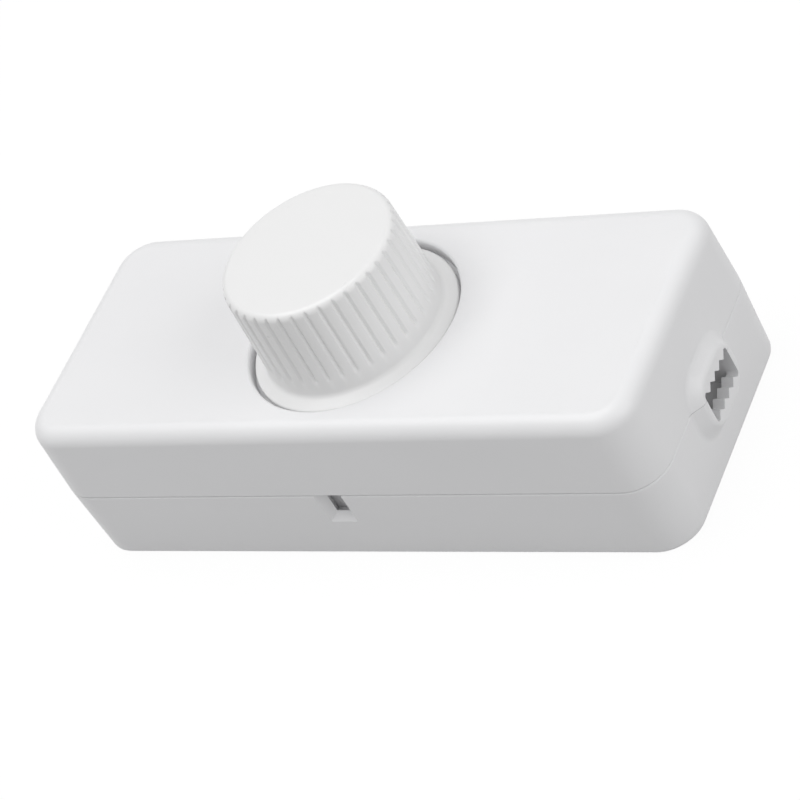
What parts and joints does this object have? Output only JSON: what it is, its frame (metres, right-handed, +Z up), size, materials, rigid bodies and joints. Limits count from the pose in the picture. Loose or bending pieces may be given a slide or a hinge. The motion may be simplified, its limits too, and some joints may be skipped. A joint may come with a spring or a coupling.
{
  "type": "inline dimmer",
  "caption": "Inline rotary dimmer for a lamp cord: long rounded box that lies on the floor, fluted knob on top, toothed cord mouth at each end.",
  "frame": {"origin": "middle of the flat underside of the housing", "axes": "+X along the cord towards the lamp end, +Z up through the knob, -Y the long side with the pry notch"},
  "size_m": [0.0908, 0.036, 0.0358],
  "materials": {
    "housing_plastic": "smooth satin white moulded plastic",
    "knob_plastic": "smooth satin white moulded plastic",
    "clamp_plastic": "natural nylon",
    "shaft_plastic": "natural nylon",
    "block_plastic": "moulded plastic, satin",
    "board_laminate": "brown paper laminate",
    "plated_steel": "zinc plated",
    "tinned_copper": "tinned wire",
    "brass": "drawn brass",
    "bronze_spring": "rolled phosphor bronze",
    "aluminium": "bent sheet, plain",
    "black_epoxy": "moulded epoxy",
    "phenolic": "brown phenolic",
    "black_plastic": "moulded plastic",
    "carbon_film": "printed carbon",
    "ferrite": "sintered ferrite",
    "enamelled_wire": "varnished copper wire",
    "capacitor_yellow": "moulded box",
    "capacitor_blue": "moulded box",
    "resistor_lacquer": "lacquered ceramic",
    "diac_glass": "tinted glass bead"
  },
  "bodies": {
    "housing": {"base_shell": "housing_plastic", "top_cover": "housing_plastic", "cord_clamp_left": "clamp_plastic", "cord_clamp_right": "clamp_plastic", "cord_clamp_screws": "plated_steel", "circuit_board": "board_laminate", "board_screws": "plated_steel", "terminal_block_in": "block_plastic", "terminal_block_out": "block_plastic", "terminal_cages": "brass", "terminal_screws": "plated_steel", "neutral_link": "tinned_copper", "heat_sink": "aluminium", "heat_sink_screw": "plated_steel", "heat_sink_nut": "plated_steel", "triac_tab": "tinned_copper", "triac_body": "black_epoxy", "triac_leads": "tinned_copper", "choke_core": "ferrite", "choke_winding": "enamelled_wire", "filter_capacitor": "capacitor_yellow", "timing_capacitor": "capacitor_blue", "fuse": "black_plastic", "resistors": "resistor_lacquer", "diac": "diac_glass", "component_leads": "tinned_copper", "axial_wires": "tinned_copper", "switch_case": "black_plastic", "switch_blade": "bronze_spring", "switch_contact": "bronze_spring", "pot_wafer": "phenolic", "resistive_track": "carbon_film", "pot_shell": "plated_steel", "pot_pins": "tinned_copper"},
    "knob_drive": {"rotary_knob": "knob_plastic", "pot_shaft": "shaft_plastic", "pot_rotor": "black_plastic", "pot_wiper": "bronze_spring"}
  },
  "joints": [
    {"name": "knob_turn", "type": "hinge", "parent": "housing", "child": "knob_drive", "pos_m": [0, 0, 0.0226], "axis": [0, 0, -1], "range_deg": [0, 300]}
  ]
}
